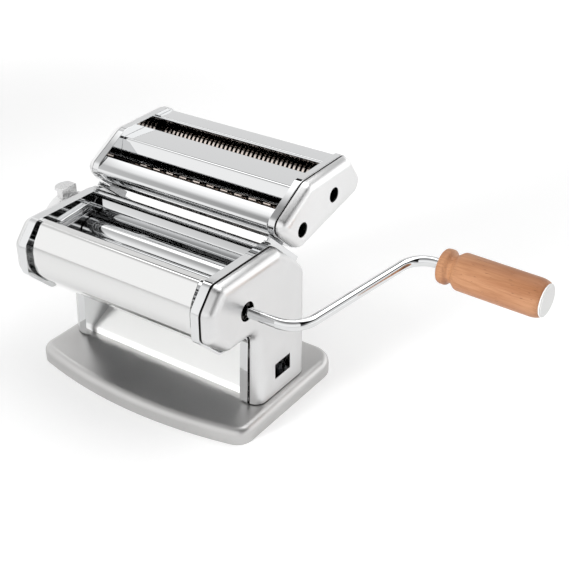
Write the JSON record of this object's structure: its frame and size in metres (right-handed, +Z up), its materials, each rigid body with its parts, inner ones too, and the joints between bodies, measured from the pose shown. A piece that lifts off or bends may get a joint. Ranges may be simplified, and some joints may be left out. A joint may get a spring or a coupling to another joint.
{
  "type": "pasta machine",
  "caption": "Hand-cranked tabletop pasta machine with flat rollers, a thickness knob, a pull-out crank with a wooden grip and a slide-off cutter for wide and narrow noodles.",
  "frame": {"origin": "on the table under the middle of the base tray", "axes": "+X to the crank side along the rollers, -Y to the front where the sheet of dough comes out, +Z up"},
  "size_m": [0.3647, 0.1856, 0.1682],
  "materials": {
    "base_satin": "satin grey pressed sheet",
    "cover_satin": "light satin pressed sheet",
    "bright": "mirror chrome",
    "steel": "plain steel",
    "bronze": "bright pale bronze",
    "rubber": "matte black",
    "wood": "turned beech, satin",
    "cap_white": "smooth white",
    "pale_sheet": "smooth, near white"
  },
  "bodies": {
    "frame": {"base_plate": "base_satin", "base_feet": "rubber", "base_screws": "steel", "left_frame": "bright", "right_frame": "bright", "left_cover": "cover_satin", "right_cover": "cover_satin", "front_cover": "bright", "rear_cover": "bright", "rear_guide": "bright", "dough_guides": "bright", "pasta_chute": "pale_sheet", "front_scraper": "steel", "rear_scraper": "steel", "tie_rods": "steel", "tie_nuts": "steel", "leg_spacers": "bright", "front_bushes": "bronze", "axle_bush": "bronze", "gear_bridge": "steel", "left_rail": "bright", "right_rail": "bright", "dial_plate": "bright"},
    "front_roller": {"front_roller": "bright", "front_gear": "steel"},
    "crank": {"crank_rod": "bright", "crank_pin": "steel", "grip_washer": "bright"},
    "grip": {"grip": "wood", "grip_cap": "cap_white"},
    "adjuster": {"eccentric_axle": "steel"},
    "knob": {"knob": "cover_satin", "knob_pin": "steel"},
    "carriage": {"rear_bushes": "bronze"},
    "rear_roller": {"rear_roller": "bright", "rear_gear": "steel"},
    "cutter": {"cutter_left_frame": "bright", "cutter_right_frame": "bright", "cutter_left_cover": "cover_satin", "cutter_right_cover": "cover_satin", "cutter_front_guard": "bright", "cutter_mid_cover": "bright", "cutter_rear_guard": "bright", "cutter_tie_rods": "steel", "cutter_tie_nuts": "steel", "cutter_bushes": "bronze", "left_runner": "steel", "right_runner": "steel", "wide_drive_comb": "steel", "wide_follower_comb": "steel", "narrow_drive_comb": "steel", "narrow_follower_comb": "steel"},
    "wide_drive": {"wide_drive_cutter": "bronze", "wide_drive_gear": "steel"},
    "wide_follower": {"wide_follower_cutter": "bronze", "wide_follower_gear": "steel"},
    "narrow_drive": {"narrow_drive_cutter": "bronze", "narrow_drive_gear": "steel"},
    "narrow_follower": {"narrow_follower_cutter": "bronze", "narrow_follower_gear": "steel"}
  },
  "joints": [
    {"name": "roller_spin", "type": "hinge", "parent": "frame", "child": "front_roller", "pos_m": [0, -0.037, 0.101], "axis": [1, 0, 0], "continuous": true},
    {"name": "crank_pull", "type": "slide", "parent": "front_roller", "child": "crank", "axis": [1, 0, 0], "range_m": [0, 0.06]},
    {"name": "grip_spin", "type": "hinge", "parent": "crank", "child": "grip", "pos_m": [0.21807, 0.07783, 0.11064], "axis": [0.9993, -0.0383, -0.0032], "continuous": true},
    {"name": "gap_knob", "type": "hinge", "parent": "frame", "child": "adjuster", "pos_m": [0, -0.0117, 0.10215], "axis": [1, 0, 0], "range_deg": [-60, 60]},
    {"name": "knob_pull", "type": "slide", "parent": "adjuster", "child": "knob", "axis": [-1, 0, 0], "range_m": [0, 0.004], "stiffness_N_per_m": 600, "springref_m": -0.004},
    {"name": "gap_slide", "type": "slide", "parent": "frame", "child": "carriage", "axis": [0, 1, 0], "range_m": [-0.001, 0.001]},
    {"name": "rear_roller_spin", "type": "hinge", "parent": "carriage", "child": "rear_roller", "pos_m": [0, -0.0117, 0.101], "axis": [1, 0, 0], "continuous": true},
    {"name": "cutter_slide", "type": "slide", "parent": "frame", "child": "cutter", "axis": [0, -0.7431, 0.6691], "range_m": [0, 0.06]},
    {"name": "wide_drive_spin", "type": "hinge", "parent": "cutter", "child": "wide_drive", "pos_m": [0, 0.0276, 0.1356], "axis": [1, 0, 0], "continuous": true},
    {"name": "wide_follower_spin", "type": "hinge", "parent": "cutter", "child": "wide_follower", "pos_m": [0, 0.04478, 0.1365], "axis": [1, 0, 0], "continuous": true},
    {"name": "narrow_drive_spin", "type": "hinge", "parent": "cutter", "child": "narrow_drive", "pos_m": [0, 0.06786, 0.14684], "axis": [1, 0, 0], "continuous": true},
    {"name": "narrow_follower_spin", "type": "hinge", "parent": "cutter", "child": "narrow_follower", "pos_m": [0, 0.08504, 0.14774], "axis": [1, 0, 0], "continuous": true}
  ],
  "couplings": [
    {"joint": "rear_roller_spin", "follows": "roller_spin", "ratio": -1},
    {"joint": "gap_slide", "follows": "gap_knob", "m_per_rad": 0.000951},
    {"joint": "wide_follower_spin", "follows": "wide_drive_spin", "ratio": -1},
    {"joint": "narrow_follower_spin", "follows": "narrow_drive_spin", "ratio": -1}
  ]
}
